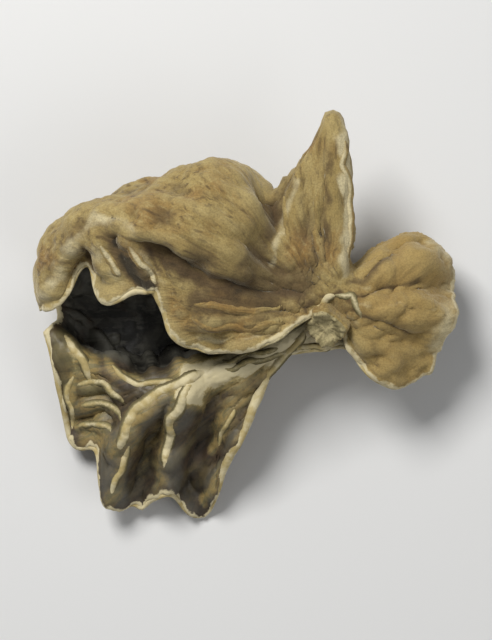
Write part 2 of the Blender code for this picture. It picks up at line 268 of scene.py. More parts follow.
# Where the dark face is paler, partly bleached and partly painted highlight, also where it lies
# in the hood's shade: (strength, half width, points), in millimetres.
PALE_INNER_AND_HIGHLIGHTS = (
    (0.5, 1.3, ((-20.5, -13.0), (-25.2, -15.4), (-28.8, -18.6), (-30.2, -21.4),
                (-31.4, -23.6))),
    (0.45, 0.9, ((-29.0, -21.2), (-30.6, -25.0), (-32.6, -31.4))),
    (0.45, 1.0, ((-20.5, -13.0), (-21.6, -15.6), (-23.4, -18.6), (-24.7, -26.0),
                 (-25.4, -30.6))),
    (0.5, 0.9, ((-18.9, -31.2), (-14.3, -22.9), (-11.2, -16.0), (-9.4, -12.0),
                (-7.4, -9.8))),
    (0.75, 2.2, ((-7.0, -8.6), (-2.0, -7.6), (2.0, -7.0))),
    (1.3, 2.5, ((-17.8, -12.2), (-20.6, -14.4))),
    (0.8, 0.5, ((-6.0, -8.0), (-13.0, -11.4), (-19.6, -12.6))),
    (1.1, 2.7, ((-3.0, -5.5), (-8.0, -8.6), (-14.0, -11.3), (-20.5, -12.8))),
    (0.55, 3.4, ((-36.0, -8.0), (-35.0, -14.0), (-34.4, -21.5))),
    (0.6, 0.8, ((-38.8, -7.2), (-36.9, -11.2), (-37.9, -15.0), (-37.6, -20.0))),
    (0.6, 0.6, ((-33.8, -9.4), (-31.4, -12.4), (-28.0, -13.8), (-24.0, -13.8))),
    (0.5, 0.8, ((-15.0, -18.0), (-17.2, -23.6))),
    (0.45, 2.0, ((-12.5, -14.5), (-16.0, -19.5))),
    (0.36, 1.7, ((-24.4, -19.0), (-26.8, -22.5), (-28.4, -27.0))),
)
# Where the felt is paler, partly bleached and partly painted highlight on the hood's top, its
# ridges and the shaded lobe edge, on the upper side, as above.
PALE_FELT_AND_HIGHLIGHTS = (
    (0.2, 4.5, ((-24.0, 10.5), (-16.0, 9.0))),
    (1.0, 0.8, ((1.2, 1.5), (1.4, 12.0), (0.6, 23.5))),
    (0.6, 0.6, ((-5.4, 15.0), (-7.2, 9.0), (-9.4, 3.0))),
    (0.5, 0.9, ((-33.6, 6.0), (-32.2, 3.6), (-29.0, -1.0))),
    (0.5, 0.9, ((-30.0, 7.4), (-27.8, 4.4), (-24.6, 0.2))),
    (0.6, 1.0, ((-41.0, -1.0), (-38.0, 4.8), (-33.0, 9.6), (-28.5, 8.6))),
    (0.55, 0.6, ((-6.0, -5.4), (-14.0, -7.4), (-20.0, -6.8))),
    (0.4, 0.35, ((2.0, -0.6), (9.0, 3.4))),
    (0.4, 0.35, ((2.0, -2.0), (14.0, -3.0))),
    (0.4, 0.35, ((2.0, -3.5), (9.0, -10.0))),
    (0.75, 2.1, ((15.0, 6.6), (17.2, 2.6), (17.0, -3.0), (14.5, -8.0))),
)
# Painted shade on the felt, along its valleys, its front slopes and the grooves between its
# folds: (strength, half width, points), in millimetres.
PAINTED_SHADE_LINES = (
    (0.7, 1.9, ((-7.2, 14.5), (-9.4, 8.0), (-11.8, 4.2), (-14.5, 1.0))),
    (1.0, 1.0, ((-5.0, -1.5), (-13.0, -0.8), (-18.0, 0.4), (-24.0, 3.8))),
    (0.85, 2.2, ((-9.0, -2.2), (-13.0, -2.4), (-20.0, -1.4))),
    (0.6, 0.45, ((-6.0, -4.2), (-13.0, -4.6), (-20.5, -4.2))),
    (0.55, 0.6, ((-3.0, 3.5), (-4.8, 9.5), (-4.2, 16.0))),
    (0.65, 0.5, ((-0.9, 3.0), (-1.3, 11.0), (-0.9, 19.0))),
    (1.6, 1.5, ((-31.3, 6.4), (-29.5, 3.6), (-27.7, 1.2), (-26.6, -0.2))),
    (0.95, 0.8, ((-35.6, 6.0), (-33.8, 3.0))),
    (0.9, 0.6, ((-26.8, 5.6), (-24.8, 2.2))),
    (0.5, 0.6, ((-41.0, 0.6), (-37.5, 6.6), (-33.0, 8.6), (-28.0, 8.8))),
    (0.9, 0.4, ((-4.4, -3.2), (-2.6, -0.8), (0.2, -0.6), (2.0, -2.0))),
    (0.95, 0.6, ((2.0, 0.4), (5.0, 2.0), (8.0, 3.8))),
    (0.9, 0.55, ((2.4, -1.3), (6.0, -0.4), (11.0, 1.2))),
    (0.8, 0.5, ((2.4, -2.8), (6.0, -4.2), (10.5, -6.0))),
    (0.5, 0.4, ((3.0, -5.0), (5.0, -7.6), (6.6, -10.6))),
)

# Folds that stand up round on the sheet: (radius, how pale their crests are, partly bleached and
# partly painted highlight, points seen from above).
STANDING_FOLDS = (
    (0.72, 1.4, ((-15.0, -9.8), (-17.8, -11.2), (-20.6, -12.8), (-25.0, -15.2), (-28.6, -18.0),
                 (-30.2, -21.0), (-31.6, -23.4), (-34.4, -24.0))),
    (0.5, 1.1, ((-28.8, -20.2), (-30.4, -24.6), (-31.6, -28.2), (-32.4, -31.2))),
    (0.6, 1.3, ((-19.2, -11.6), (-21.0, -14.6), (-23.2, -18.4), (-24.0, -22.4), (-24.7, -26.0),
                (-25.4, -30.6))),
    (0.42, 1.0, ((-34.4, -7.6), (-32.0, -11.4), (-28.6, -13.4), (-24.6, -13.4), (-21.0, -12.4))),
    (0.55, 1.2, ((-40.2, -5.4), (-37.6, -8.6), (-35.6, -11.8), (-34.4, -14.8))),
    (0.5, 1.3, ((-10.4, -15.6), (-9.2, -12.6), (-7.4, -9.8), (-5.6, -7.8), (-4.4, -5.8),
                (-3.2, -3.8), (-1.4, -1.8), (1.0, -0.4))),
    (0.38, 0.4, ((-1.6, -1.9), (0.8, -0.6), (2.4, -1.2), (3.1, -3.4), (3.2, -6.0))),
    (0.4, 0.8, ((-37.2, -10.4), (-38.4, -14.6), (-38.2, -18.0), (-37.0, -22.4))),
    (0.42, 0.48, ((-38.6, -14.6), (-36.2, -13.6), (-33.4, -13.6), (-30.8, -15.4),
                  (-29.2, -18.0))),
    (0.42, 0.42, ((-38.6, -17.6), (-36.0, -16.7), (-33.4, -16.7), (-31.2, -18.0),
                  (-29.8, -20.4))),
    (0.42, 0.48, ((-38.4, -20.6), (-35.8, -19.7), (-33.4, -19.7), (-31.0, -21.4))),
    (0.34, 0.8, ((-14.2, -15.6), (-15.6, -19.6), (-17.6, -24.4))),
    (0.36, 0.75, ((-7.6, -10.0), (-4.8, -8.4), (-1.6, -8.4), (2.0, -7.6))),
    (0.34, 0.35, ((-3.0, -8.0), (-8.0, -9.4), (-13.0, -10.8), (-19.0, -11.6))),
    (0.3, 0.3, ((-6.0, -8.0), (-12.0, -9.6), (-17.6, -10.4))),
)
# Folds of the felt, in the same way.
FELT_FOLDS = (
    (0.45, 0.9, ((-33.6, 6.6), (-32.4, 4.6), (-31.0, 2.6), (-29.8, 1.2))),
    (0.45, 0.9, ((-30.0, 7.4), (-27.8, 4.4), (-25.8, 1.6), (-24.6, 0.2))),
    (0.4, 0.8, ((1.7, 2.0), (1.8, 7.0), (1.6, 13.0), (1.0, 19.0), (0.4, 23.0))),
    (0.35, 0.25, ((-4.4, 4.2), (-6.6, 8.8), (-7.4, 14.6))),
    (0.35, 0.2, ((-2.2, 3.6), (-2.9, 9.0), (-2.0, 16.6))),
    (0.45, 0.15, ((-4.4, -1.8), (-11.0, -3.2), (-17.0, -2.6), (-22.6, -0.6))),
    (0.42, 0.15, ((-4.8, -3.8), (-11.0, -5.4), (-17.4, -5.4), (-22.0, -3.6))),
)
# Stretches of the margins that are rolled into a hem: (line, from point, to point, radius, how
# pale).
HEMS = (
    (7, 4.9, 9.1, 0.62, 1.2), (7, 9.0, 12.9, 0.36, 0.8), (7, 0.1, 3.4, 0.46, 0.85),
    (7, 3.2, 5.2, 0.3, 0.7), (0, 0.1, 6.2, 0.42, 1.1), (0, 5.9, 9.6, 0.2, 0.35),
    (0, 10.6, 12.9, 0.24, 0.7),
)
FOLD_STEPS = 40  # from drawn point to drawn point
FOLD_SIDES = 20
FOLD_SMOOTHING = 8  # rounds
FOLD_TAPER = 0.32  # of its length, at each end
FOLD_TIP = 0.2  # of its radius
FOLD_SWELL = 0.22  # of its radius, how uneven it is along its length
FOLD_SWELL_SIZE = 3.5 * MM
FOLD_BUMP = 0.1  # of its radius
FOLD_BUMP_SIZE = 0.5 * MM
FLANK = 0.5  # how much wider a standing fold is at its base
SUNK = 0.35  # of its radius, that a standing fold lies in the sheet
LEAP = 0.8 * MM  # in one step, up or down, where a fold is cut off
SHORTEST_RUN = 16  # in steps, of a fold that was cut
ABOVE = 60 * MM  # higher than all of the ear


def catmull_rom(points, t):
    """The point at t, from 0 to the last point's number, on a smooth curve through them."""
    last = len(points) - 1
    i = min(int(t), last - 1)
    f = t - i
    a, b = points[i], points[i + 1]
    before = points[i - 1] if i > 0 else 2 * a - b
    after = points[i + 2] if i + 2 <= last else 2 * b - a
    square = 2 * before - 5 * a + 4 * b - after
    cube = 3 * a - 3 * b + after - before
    return 0.5 * (2 * a + (b - before) * f + square * f**2 + cube * f**3)


def steps(counts):
    """Where the mesh's lines run. Each whole number is one of the drawn points or lines."""
    found = [i + k / count for i, count in enumerate(counts) for k in range(count)]
    return found + [len(counts)]


def smoothstep(start, end, x):
    f = min(max((x - start) / (end - start), 0.0), 1.0)
    return f * f * (3 - 2 * f)


def distance(x, y, points):
    """From (x, y) to a line through the points, in their unit."""
    best = math.inf
    for (ax, ay), (bx, by) in zip(points, points[1:]):
        dx, dy = bx - ax, by - ay
        f = ((x - ax) * dx + (y - ay) * dy) / (dx * dx + dy * dy)
        f = min(max(f, 0.0), 1.0)
        best = min(best, math.hypot(x - ax - f * dx, y - ay - f * dy))
    return best


def wandering(point):
    """The point seen from above, in millimetres, moved a little so that no line runs smooth."""
    x, y = point.x / MM, point.y / MM
    x += WANDER * noise.noise(Vector((x, y, 0)) / WANDER_SIZE)
    y += WANDER * noise.noise(Vector((x, y, 9 * WANDER_SIZE)) / WANDER_SIZE)
    return x, y


def bell(offset, width):
    return math.exp(-((offset / width) ** 2))


def creased(point, creases, wander=False):
    """How far the creases lift a point of the sheet."""
    x, y = wandering(point) if wander else (point.x / MM, point.y / MM)
    total = 0.0
    for height, width, points in creases:
        total += height * bell(distance(x, y, points), width)
    return total * MM


def marked(point, marks):
    """How strongly the marks show at a point, about from 0 to 1."""
    x, y = wandering(point)
    patchy = 1 + PATCHY * noise.noise(Vector((x, y, 20.0)) / PATCH_SIZE)
    shows = (strength * bell(distance(x, y, line), width) for strength, width, line in marks)
    return patchy * max(shows)


def radial_folds(point):
    """Folds that run out from the foot, more of them further away."""
    spoke = point - FOOT_MIDDLE
    reach = spoke.length
    spoke /= reach
    start, end = RADIAL_GROWTH
    total = 0.0
    for count, depth in RADIAL_FOLDS:
        at = count * spoke + Vector((reach, 0, -reach)) / RADIAL_LENGTH
        grown = smoothstep(start * count, end * count, reach)
        sharp = 0.45 - 1.6 * abs(noise.noise(at))
        total += depth * grown * sharp
    return total


def slopes(grid):
    """The sheet's normal, towards its outer felted face, and its run from line to line."""
    found = []
    places = steps(ROWS)
    for i, column in enumerate(grid):
        left, right = grid[max(i - 1, 0)], grid[min(i + 1, len(grid) - 1)]
        row = []
        for j in range(len(column)):
            low, high = max(j - 1, 0), min(j + 1, len(column) - 1)
            across = (column[high] - column[low]) / (places[high] - places[low])
            row.append(((right[j] - left[j]).cross(across).normalized(), across.length))
        found.append(row)
    return found


def drift(s, t, mean, spread, over_t, over_s, seed):
    """A number that changes smoothly over the sheet, about its mean."""
    return mean + spread * noise.noise(Vector((over_t * t, over_s * s, seed)))


def pleated(s, t, per_line, sway, depth):
    """How high round pleats with sharp valleys stand, against their depth."""
    wave = abs(math.sin(math.pi * (per_line * t + drift(s, t, *sway))))
    return (wave - PLEAT_VALLEY) * drift(s, t, *depth)


def notched(s, notches):
    return sum(depth * bell(s - at, width) for at, width, depth in notches)


def loft():
    """The smooth sheet, as columns of points from the upper margin to the lower one."""
    lines = [[Vector(point) * MM for point in line] for line in LINES]
    apron = len(LINES) - 2
    grid = []
    for s in steps(COLUMNS):
        section = [catmull_rom(line, s) for line in lines]
        upper, lower = (noise.fractal(section[k] / JAG_SIZE, 0.8, 2.0, 3) for k in (0, -1))
        upper = notched(s, UPPER_NOTCHES) + UPPER_JAG * upper
        lower = notched(s, LOWER_NOTCHES) + LOWER_JAG * lower
        rows = [t + upper * max(1 - t, 0) - lower * max(t - apron, 0) for t in steps(ROWS)]
        grid.append([catmull_rom(section, t) for t in rows])
    return grid


def crumple(grid):
    """The wrinkled sheet, how far each of its points moved, and how much of that is ribs."""
    crumpled = []
    heights = []
    ribs = []
    for s, column, row in zip(steps(COLUMNS), grid, slopes(grid)):
        for t, point, (normal, run) in zip(steps(ROWS), column, row):
            hood = 1 - smoothstep(*HOOD_ENDS, t)
            apron = smoothstep(*APRON_STARTS, t)
            hidden = smoothstep(*HIDDEN_STARTS, t) - smoothstep(*HIDDEN_ENDS, t)
            back = smoothstep(*BACK_STARTS, t) - smoothstep(*HIDDEN_ENDS, t)
            floor = smoothstep(*FLOOR_STARTS, t) * (1 - apron)
            edge = smoothstep(*LOWER_EDGE_STARTS, t) + 1 - smoothstep(*UPPER_EDGE_ENDS, t)

            shift = hood * creased(point, HOOD_CREASES) - apron * creased(point, APRON_CREASES)
            pleat = pleated(s, t, PLEATS_PER_LINE, PLEAT_SWAY, PLEAT_DEPTH)
            shift += PLEAT * pleat * (PLEATS_SHOWN + (1 - PLEATS_SHOWN) * hidden)
            shift += CRUMPLE * noise.noise(point / CRUMPLE_SIZE)
            shift += RUFFLE * edge * noise.noise(point / RUFFLE_SIZE)

            small = pleated(s, t, SMALL_PLEATS_PER_LINE, SMALL_PLEAT_SWAY, SMALL_PLEAT_DEPTH)
            small *= SMALL_PLEAT * (SMALL_PLEATS_SHOWN + (1 - SMALL_PLEATS_SHOWN) * back)
            flare = 1 - smoothstep(*UPPER_FLARE_ENDS, t)
            flare -= LOWER_FLARE * smoothstep(*LOWER_FLARE_STARTS, t)
            rib = radial_folds(point)
            fine = small + FLARE * flare
            fine += hood * creased(point, HOOD_LINES, wander=True)
            fine -= apron * creased(point, APRON_LINES, wander=True)
            fine -= floor * creased(point, HOLLOW_LINES, wander=True)
            fine += (1 + BACK_RIBS * back) * rib
            pucker = noise.fractal(point / PUCKER_SIZE, 0.8, 2.0, 2)
            fine += PUCKER * (1 + EDGE_PUCKERS * edge) * pucker

            shift = (shift + fine) * smoothstep(TIGHT, FREE, run)
            crumpled.append(point + shift * normal)
            heights.append(shift / MM)
            ribs.append((rib + PLEAT_RIBS * small) / MM)
    return crumpled, heights, ribs


def edge_distances(points, columns, rows):
    """From each point of the sheet to its nearest margin, along the mesh's lines."""
    found = []
    for i in range(columns):
        for j in range(rows):
            point = points[i * rows + j]
            margins = (i * rows, i * rows + rows - 1, j, (columns - 1) * rows + j)
            found.append(min((point - points[k]).length for k in margins))
    return found


def wall_at(point, edge):
    """The wall's thickness at a point, that far from the nearest margin."""
    wall = MARGIN_WALL + (WALL - MARGIN_WALL) * smoothstep(0, MARGIN_BAND, edge)
    reach = (point - FOOT_ROOT).length
    wall += (FOOT_WALL - WALL) * (1 - smoothstep(0, FOOT_BAND, reach))
    inset = min(edge / EDGE_ROUND, 1.0)
    blunt = EDGE_SHARE**2
    return wall * math.sqrt(blunt + (1 - blunt) * (1 - (1 - inset) ** 2))


def store(mesh, **attributes):
    """Keeps numbers for each of the mesh's points, which its materials read."""
    for name, values in attributes.items():
        mesh.attributes.new(name, "FLOAT", "POINT").data.foreach_set("value", values)


def stored(mesh, name):
    return [value.value for value in mesh.attributes[name].data]


def add_object(name, mesh):
    thing = bpy.data.objects.new(name, mesh)
    bpy.context.scene.collection.objects.link(thing)
    return thing


def apply_modifiers(thing):
    graph = bpy.context.evaluated_depsgraph_get()
    mesh = bpy.data.meshes.new_from_object(thing.evaluated_get(graph))
    thing.modifiers.clear()
    thing.data = mesh


def sheet_mesh():
    """The sheet as one surface, half way through its wall, with what its finish depends on."""
    points, heights, ribs = crumple(loft())
    columns, rows = sum(COLUMNS) + 1, sum(ROWS) + 1
    edges = edge_distances(points, columns, rows)
    walls = [wall_at(point, edge) for point, edge in zip(points, edges)]
    for point, wall in zip(points, walls):
        point.z = max(point.z, wall / 2)
    faces = []
    for i in range(columns - 1):
        for j in range(rows - 1):
            a = i * rows + j
            faces.append((a, a + rows, a + rows + 1, a + 1))
    mesh = bpy.data.meshes.new("ear_flesh")
    mesh.from_pydata([point - RESTS_AT for point in points], [], faces)
    upper = [1 - smoothstep(*FELT_MARKS_END, t) for t in steps(ROWS)] * columns
    apron = [smoothstep(*INNER_MARKS_START, t) for t in steps(ROWS)] * columns
    store(
        mesh,
        height=heights,
        rib=ribs,
        edge=[edge / MM for edge in edges],
        apron=apron,
        pale_inner=[share * marked(point, PALE_INNER_AND_HIGHLIGHTS) for point, share in zip(points, apron)],
        pale_felt=[share * marked(point, PALE_FELT_AND_HIGHLIGHTS) for point, share in zip(points, upper)],
        stain=[share * marked(point, PAINTED_SHADE_LINES) for point, share in zip(points, upper)],
        reach=[(point - FOOT_MIDDLE).length / MM for point in points],
    )
    margins = {0: points[0::rows], len(LINES) - 1: points[rows - 1 :: rows]}
    return mesh, walls, margins


def wrinkle(mesh):
    """Fine radial wrinkles in the felt, and a net of veins in the dark face."""
    reach = stored(mesh, "reach")
    inner = set()
    for face in mesh.polygons:
        if face.material_index == 1:
            inner.update(face.vertices)
    moved = []
    for vertex in mesh.vertices:
        calm = smoothstep(*CALM, reach[vertex.index])
        if vertex.index in inner:
            vein = noise.ridged_multi_fractal(vertex.co / VEIN_SIZE, 1.0, 2.1, 3, 1.0, 2.0)
            shift = VEIN * (vein - 1.2)
        else:
            shift = FELT_WRINKLE * noise.fractal(vertex.co / FELT_WRINKLE_SIZE, 0.7, 2.0, 3)
        moved.append(vertex.co + calm * shift * vertex.normal)
    for vertex, point in zip(mesh.vertices, moved):
        vertex.co = point
        vertex.co.z = max(vertex.co.z, 0)


def add_flesh():
    """The sheet with its wall, its felt outside and its dark face inside."""
    mesh, walls, margins = sheet_mesh()
    flesh = add_object("ear_flesh", mesh)
    for material in (felt_material(), inner_material()):
        mesh.materials.append(material)
    thickness = flesh.vertex_groups.new(name="thickness")
    for index, wall in enumerate(walls):
        thickness.add([index], wall / FOOT_WALL, "REPLACE")
    solid = flesh.modifiers.new("wall", "SOLIDIFY")
    solid.thickness = FOOT_WALL
    solid.offset = 0
    solid.vertex_group = thickness.name
    solid.material_offset = 1
    apply_modifiers(flesh)
    wrinkle(flesh.data)
    flesh.data.shade_smooth()
    return flesh, margins


STREAK_COUNTS = (16, 38)  # near the foot and far from it
STREAKS_DIVIDE = (8.0, 26.0)  # from the foot, in millimetres


class Nodes:
    """A material's node tree, with short calls for the nodes used here."""

    def __init__(self, name):
        self.material = bpy.data.materials.new(name)
        self.material.use_nodes = True
        self.tree = self.material.node_tree
        self.shader = self.tree.nodes["Principled BSDF"]
        self.place = self.add("ShaderNodeTexCoord").outputs["Object"]

    def add(self, kind, inputs=(), **settings):
        node = self.tree.nodes.new(kind)
        for name, value in settings.items():
            setattr(node, name, value)
        for name, value in dict(inputs).items():
            self.set(node.inputs[name], value)
        return node

    def set(self, socket, value):
        if isinstance(value, bpy.types.NodeSocket):
            self.tree.links.new(value, socket)
        else:
            socket.default_value = value

    def noise(self, size, detail=4.0, roughness=0.55, distortion=0.0, at=None):
        inputs = {
            "Vector": at or self.place,
            "Scale": 1 / size,
            "Detail": detail,
            "Roughness": roughness,
            "Distortion": distortion,
        }
        return self.add("ShaderNodeTexNoise", inputs).outputs["Fac"]

    def net(self, size):
        """How far it is to the nearest line of a net with meshes of this size."""
        inputs = {"Vector": self.place, "Scale": 1 / size}
        node = self.add("ShaderNodeTexVoronoi", inputs, feature="DISTANCE_TO_EDGE")
        return node.outputs["Distance"]

    def streaks(self, reach):
        """Thin streaks that run out from the foot, finer further away."""
        centre = self.add("ShaderNodeVectorMath", operation="SUBTRACT")
        self.set(centre.inputs[0], self.place)
        centre.inputs[1].default_value = FOOT_MIDDLE - RESTS_AT
        spoke = self.add("ShaderNodeVectorMath", operation="NORMALIZE")
        self.set(spoke.inputs[0], centre.outputs[0])
        near, far = (
            self.noise(1 / count, distortion=0.3, at=spoke.outputs[0]) for count in STREAK_COUNTS
        )
        mixed = self.add("ShaderNodeMix", data_type="FLOAT")
        self.set(mixed.inputs[0], self.fit(reach, *STREAKS_DIVIDE))
        self.set(mixed.inputs[2], near)
        self.set(mixed.inputs[3], far)
        return mixed.outputs[0]

    def attribute(self, name):
        return self.add("ShaderNodeAttribute", attribute_name=name).outputs["Fac"]

    def fit(self, value, low, high, to_low=0.0, to_high=1.0):
        """Turns low to to_low and high to to_high, with a smooth step between them."""
        inputs = {
            "Value": value,
            "From Min": low,
            "From Max": high,
            "To Min": to_low,
            "To Max": to_high,
        }
        node = self.add("ShaderNodeMapRange", inputs, interpolation_type="SMOOTHSTEP")
        return node.outputs["Result"]

    def plus(self, a, b):
        node = self.add("ShaderNodeMath", operation="ADD")
        self.set(node.inputs[0], a)
        self.set(node.inputs[1], b)
        return node.outputs[0]

    def axis(self, name):
        return self.add("ShaderNodeSeparateXYZ", {"Vector": self.place}).outputs[name]

    def mix(self, share, a, b, blend="MIX"):
        node = self.add("ShaderNodeMix", data_type="RGBA", blend_type=blend)
        self.set(node.inputs[0], share)
        self.set(node.inputs[6], a)
        self.set(node.inputs[7], b)
        return node.outputs[2]

    def bump(self, height, depth, strength=1.0, after=None):
        inputs = {"Height": height, "Distance": depth, "Strength": strength}
        node = self.add("ShaderNodeBump", inputs)
        if after is not None:
            self.set(node.inputs["Normal"], after)
        return node.outputs["Normal"]


def color(red, green, blue):
    return (red, green, blue, 1.0)


BLACK = color(0.0, 0.0, 0.0)
WHITE = color(1.0, 1.0, 1.0)
TAN = color(0.305, 0.22, 0.077)
STRAW = color(0.41, 0.32, 0.135)
CREAM = color(0.58, 0.5, 0.3)
OCHRE = color(0.25, 0.15, 0.045)
RUSSET = color(0.36, 0.245, 0.082)
MOSS = color(0.19, 0.16, 0.07)
BROWN = color(0.08, 0.049, 0.022)
NIGHT = color(0.016, 0.0145, 0.0105)
BLOOM = color(0.12, 0.113, 0.088)
UMBER = color(0.06, 0.037, 0.019)
BARK = color(0.105, 0.077, 0.033)
WOOD = color(0.4, 0.335, 0.17)
DARK_WOOD = color(0.2, 0.165, 0.075)
HAIR = color(0.95, 0.86, 0.66)
FLOOR = color(0.66, 0.655, 0.64)
DAYLIGHT = color(0.93, 0.96, 1.0)

SMALL_LOBE_STARTS = (24 * MM, 29 * MM)  # along X
# Painted shade: the lower lobe's dark face darkens towards its bottom over this stretch.
LOWER_LOBE_DARKENS = (-22 * MM, -29 * MM)  # along Y
MARGIN_GRAIN = 1.2 * MM


def felt_material():
    """The outer face: tan felt, mottled with ochre, with painted shade in its creases and
    valleys, and pale felt on top that is partly bleached and partly painted highlight.
    """
    n = Nodes("felted back")
    reach = n.attribute("reach")
    streak = n.streaks(reach)
    patches = n.noise(9 * MM, detail=2.0, distortion=0.4)
    mottle = n.noise(2.2 * MM, detail=3.0, roughness=0.5)
    fibre = n.noise(0.25 * MM, detail=3.0, roughness=0.7)
    height = n.attribute("height")
    tone = n.mix(n.fit(patches, 0.42, 0.66), TAN, OCHRE)
    tone = n.mix(n.fit(mottle, 0.5, 0.7, 0.0, 0.3), tone, STRAW)
    brown = n.fit(reach, 5.0, 13.0, 0.35, 0.7)
    tone = n.mix(n.fit(streak, 0.5, 0.68, 0.0, brown), tone, BROWN)
    tone = n.mix(n.fit(streak, 0.48, 0.32, 0.0, 0.5), tone, STRAW)
    rib = n.attribute("rib")
    # Painted shade in the valleys of the ribs and creases, and painted highlight on their
    # ridges.
    tone = n.mix(n.fit(rib, 0.0, -0.45, 0.0, 0.6), tone, BROWN)
    tone = n.mix(n.fit(rib, 0.12, 0.42, 0.0, 0.45), tone, STRAW)
    tone = n.mix(n.fit(height, -0.2, -1.6, 0.0, 0.8), tone, BROWN)
    tone = n.mix(n.fit(height, 0.5, 1.5, 0.0, 0.55), tone, STRAW)
    tone = n.mix(n.fit(n.axis("X"), *SMALL_LOBE_STARTS, 0.0, 0.7), tone, RUSSET)
    ragged = n.fit(mottle, 0.3, 0.7, -0.18, 0.18)
    # Painted shade along the drawn valleys and slopes: brown, and near black where it is
    # strongest.
    stain = n.plus(n.attribute("stain"), ragged)
    tone = n.mix(n.fit(stain, 0.15, 0.95, 0.0, 0.85), tone, BROWN)
    tone = n.mix(n.fit(stain, 0.9, 1.35, 0.0, 0.8), tone, NIGHT)
    # Paler felt, partly bleached and partly painted highlight.
    pale = n.plus(n.attribute("pale_felt"), ragged)
    tone = n.mix(n.fit(pale, 0.25, 0.95, 0.0, 0.85), tone, CREAM)
    tone = n.mix(n.fit(reach, 7.0, 3.0, 0.0, 0.15), tone, BROWN)
    speck = n.mix(n.fit(fibre, 0.38, 0.66, 0.55, 1.25), BLACK, WHITE)
    tone = n.mix(0.5, tone, speck, "MULTIPLY")
    edge = n.plus(n.attribute("edge"), n.fit(n.noise(MARGIN_GRAIN), 0.3, 0.7, -0.25, 0.25))
    tone = n.mix(n.fit(edge, 0.85, 0.4, 0.0, 0.9), tone, CREAM)
    n.set(n.shader.inputs["Base Color"], tone)
    n.set(n.shader.inputs["Roughness"], n.fit(mottle, 0.3, 0.7, 0.78, 0.95))
    n.shader.inputs["Sheen Weight"].default_value = 0.35
    n.shader.inputs["Sheen Roughness"].default_value = 0.45
    n.shader.inputs["Sheen Tint"].default_value = HAIR
    n.shader.inputs["Specular IOR Level"].default_value = 0.3
    rough = n.bump(streak, 0.5 * MM, n.fit(reach, 6.0, 14.0, 0.12, 0.6))
    n.set(n.shader.inputs["Normal"], n.bump(fibre, 0.08 * MM, 0.8, rough))
    return n.material


def inner_material():
    """The inner face: near black and half glossy, with a dusty bloom and a bleached margin,
    painted shade in its creases and down the lower lobe, and pale bands that are partly bleached
    and partly painted highlight.
    """
    n = Nodes("dark inner face")
    bloom = n.noise(6 * MM, detail=5.0, roughness=0.6, distortion=0.6)
    grain = n.noise(0.5 * MM, detail=4.0, roughness=0.65)
    veins = n.net(1.3 * MM)
    streak = n.streaks(n.attribute("reach"))
    height = n.attribute("height")
    tone = n.mix(n.fit(bloom, 0.4, 0.68), NIGHT, BLOOM)
    tone = n.mix(n.fit(streak, 0.5, 0.36, 0.0, 0.6), tone, BLOOM)
    tone = n.mix(n.fit(n.noise(3 * MM), 0.55, 0.75, 0.0, 0.7), tone, UMBER)
    leaf = n.mix(n.fit(bloom, 0.36, 0.64), BARK, UMBER)
    leaf = n.mix(n.fit(streak, 0.42, 0.62, 0.0, 0.55), leaf, NIGHT)
    leaf = n.mix(n.fit(n.attribute("rib"), -0.05, -0.4, 0.0, 0.5), leaf, MOSS)
    # Painted shade towards the lower lobe's bottom.
    leaf = n.mix(n.fit(n.axis("Y"), *LOWER_LOBE_DARKENS, 0.0, 0.5), leaf, NIGHT)
    tone = n.mix(n.fit(n.attribute("apron"), 0.2, 0.9), tone, leaf)
    # Painted shade in the inner face's creases, and its paler bloom on the ridges as painted
    # highlight.
    tone = n.mix(n.fit(height, 0.3, 1.6, 0.0, 0.45), tone, NIGHT)
    tone = n.mix(n.fit(height, -0.4, -1.5, 0.0, 0.5), tone, BLOOM)
    # Paler bands on the dark face, partly bleached and partly painted highlight.
    pale = n.plus(n.attribute("pale_inner"), n.fit(grain, 0.3, 0.7, -0.07, 0.07))
    flank = n.mix(n.fit(streak, 0.42, 0.6), TAN, MOSS)
    flank = n.mix(n.fit(grain, 0.5, 0.7, 0.0, 0.5), flank, UMBER)
    tone = n.mix(n.fit(pale, 0.15, 0.6, 0.0, 0.92), tone, flank)
    tone = n.mix(n.fit(pale, 0.6, 0.74, 0.0, 0.9), tone, STRAW)
    tone = n.mix(n.fit(pale, 0.68, 0.85), tone, CREAM)
    edge = n.plus(n.attribute("edge"), n.fit(n.noise(MARGIN_GRAIN), 0.3, 0.7, -0.3, 0.3))
    tone = n.mix(n.fit(edge, 1.8, 0.7, 0.0, 0.5), tone, UMBER)
    tone = n.mix(n.fit(edge, 0.8, 0.45), tone, CREAM)
    n.set(n.shader.inputs["Base Color"], tone)
    n.set(n.shader.inputs["Roughness"], n.fit(bloom, 0.35, 0.7, 0.52, 0.75))
    n.shader.inputs["Specular IOR Level"].default_value = 0.45
    rough = n.bump(veins, 0.12 * MM, 0.5)
    n.set(n.shader.inputs["Normal"], n.bump(grain, 0.06 * MM, 0.7, rough))
    return n.material


def cut_material():
    """Where the foot was cut: dull, fibrous and pitted."""
    n = Nodes("cut foot")
    fibre = n.noise(0.3 * MM, detail=5.0, roughness=0.7)
    patch = n.noise(1.5 * MM, detail=3.0)
    tone = n.mix(n.fit(patch, 0.42, 0.62), WOOD, DARK_WOOD)
    tone = n.mix(n.fit(fibre, 0.52, 0.7, 0.0, 0.8), tone, BROWN)
    n.set(n.shader.inputs["Base Color"], tone)
    n.shader.inputs["Roughness"].default_value = 0.9
    n.set(n.shader.inputs["Normal"], n.bump(fibre, 0.15 * MM, 0.8))
    return n.material


